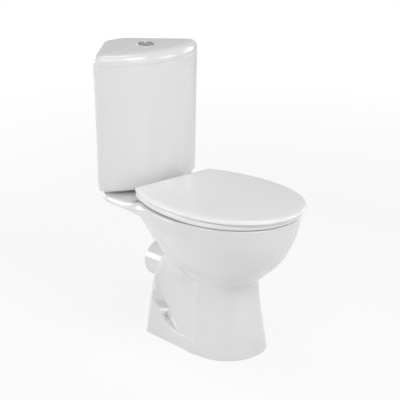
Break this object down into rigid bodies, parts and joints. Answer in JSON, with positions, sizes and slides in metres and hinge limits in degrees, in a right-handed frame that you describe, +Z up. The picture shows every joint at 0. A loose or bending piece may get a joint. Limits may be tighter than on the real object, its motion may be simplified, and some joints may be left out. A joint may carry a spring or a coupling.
{
  "type": "corner toilet",
  "caption": "White close-coupled corner toilet with a three-cornered cistern, a split flush button, a hinged seat and lid, and the working flush and fill valves inside.",
  "frame": {"origin": "on the floor, under the middle of the bounding box", "axes": "+Z up, -Y towards the user in front, +Y into the corner of the room, X across"},
  "size_m": [0.3796, 0.717, 0.7935],
  "materials": {
    "china": "gloss white glaze",
    "seat_plastic": "gloss white",
    "chrome": "polished",
    "steel": "bright drawn",
    "nylon": "satin moulded",
    "blue_plastic": "satin moulded",
    "rubber": "matt",
    "brass": "plain"
  },
  "bodies": {
    "toilet": {"pan": "china", "cistern": "china", "cistern_lid": "china", "hinge_posts": "chrome", "hinge_pins": "steel", "hinge_screws": "steel", "hinge_anchors": "rubber", "button_bezel": "chrome", "bezel_nut": "nylon", "full_button_spring": "steel", "half_button_spring": "steel", "lever_pin": "steel", "valve_base": "nylon", "valve_cage": "blue_plastic", "valve_washer": "rubber", "valve_nut": "nylon", "cistern_gasket": "rubber", "coupling_bolts": "brass", "coupling_seals": "rubber", "coupling_washers": "brass", "coupling_wing_nuts": "brass", "fill_valve_stem": "nylon", "inlet_washer": "rubber", "inlet_nut": "nylon", "fill_valve_head": "blue_plastic", "arm_pin": "steel", "floor_brackets": "nylon", "side_screws": "steel", "screw_caps": "seat_plastic"},
    "seat": {"seat_ring": "seat_plastic", "seat_buffers": "seat_plastic"},
    "lid": {"seat_lid": "seat_plastic", "lid_buffers": "seat_plastic"},
    "full_button": {"full_flush_button": "chrome", "full_push_rod": "nylon"},
    "half_button": {"half_flush_button": "chrome", "half_push_rod": "nylon"},
    "full_lever": {"full_flush_lever": "blue_plastic"},
    "half_lever": {"half_flush_lever": "blue_plastic"},
    "half_catch": {"half_flush_catch": "nylon"},
    "flush_tower": {"overflow_tube": "nylon", "flush_seal": "rubber", "flush_float": "nylon"},
    "inlet_float": {"fill_float": "nylon", "float_link": "steel"},
    "inlet_arm": {"fill_valve_arm": "blue_plastic"}
  },
  "joints": [
    {"name": "seat_hinge", "type": "hinge", "parent": "toilet", "child": "seat", "pos_m": [0, 0.0865, 0.41275], "axis": [-1, 0, 0], "range_deg": [0, 92]},
    {"name": "lid_hinge", "type": "hinge", "parent": "seat", "child": "lid", "pos_m": [0, 0.0865, 0.41275], "axis": [1, 0, 0], "range_deg": [-92, 0]},
    {"name": "full_button_slide", "type": "slide", "parent": "toilet", "child": "full_button", "axis": [0, 0, -1], "range_m": [0, 0.006], "stiffness_N_per_m": 120, "deforming": ["full_button_spring"]},
    {"name": "half_button_slide", "type": "slide", "parent": "toilet", "child": "half_button", "axis": [0, 0, -1], "range_m": [0, 0.006], "stiffness_N_per_m": 120, "deforming": ["half_button_spring"]},
    {"name": "full_lever_pivot", "type": "hinge", "parent": "toilet", "child": "full_lever", "pos_m": [-0.002, 0.2065, 0.676], "axis": [0, 1, 0], "range_deg": [0, 30.5]},
    {"name": "tower_lift", "type": "slide", "parent": "toilet", "child": "flush_tower", "axis": [0, 0, 1], "range_m": [0, 0.0072]},
    {"name": "half_lever_pivot", "type": "hinge", "parent": "toilet", "child": "half_lever", "pos_m": [-0.002, 0.2065, 0.676], "axis": [0, 1, 0], "range_deg": [0, 30.5]},
    {"name": "half_catch_lift", "type": "slide", "parent": "toilet", "child": "half_catch", "axis": [0, 0, 1], "range_m": [0, 0.0072]},
    {"name": "inlet_float_slide", "type": "slide", "parent": "toilet", "child": "inlet_float", "axis": [0, 0, 1], "range_m": [0, 0.014]},
    {"name": "inlet_arm_pivot", "type": "hinge", "parent": "toilet", "child": "inlet_arm", "pos_m": [0.008, 0.3085, 0.692], "axis": [0, 1, 0], "range_deg": [0, 25.6]}
  ],
  "couplings": [
    {"joint": "full_lever_pivot", "follows": "full_button_slide", "rad_per_m": 87.27},
    {"joint": "tower_lift", "follows": "full_button_slide", "ratio": 1.1667},
    {"joint": "half_lever_pivot", "follows": "half_button_slide", "rad_per_m": 87.27},
    {"joint": "half_catch_lift", "follows": "half_button_slide", "ratio": 1.1667},
    {"joint": "inlet_arm_pivot", "follows": "inlet_float_slide", "rad_per_m": 31.5}
  ]
}
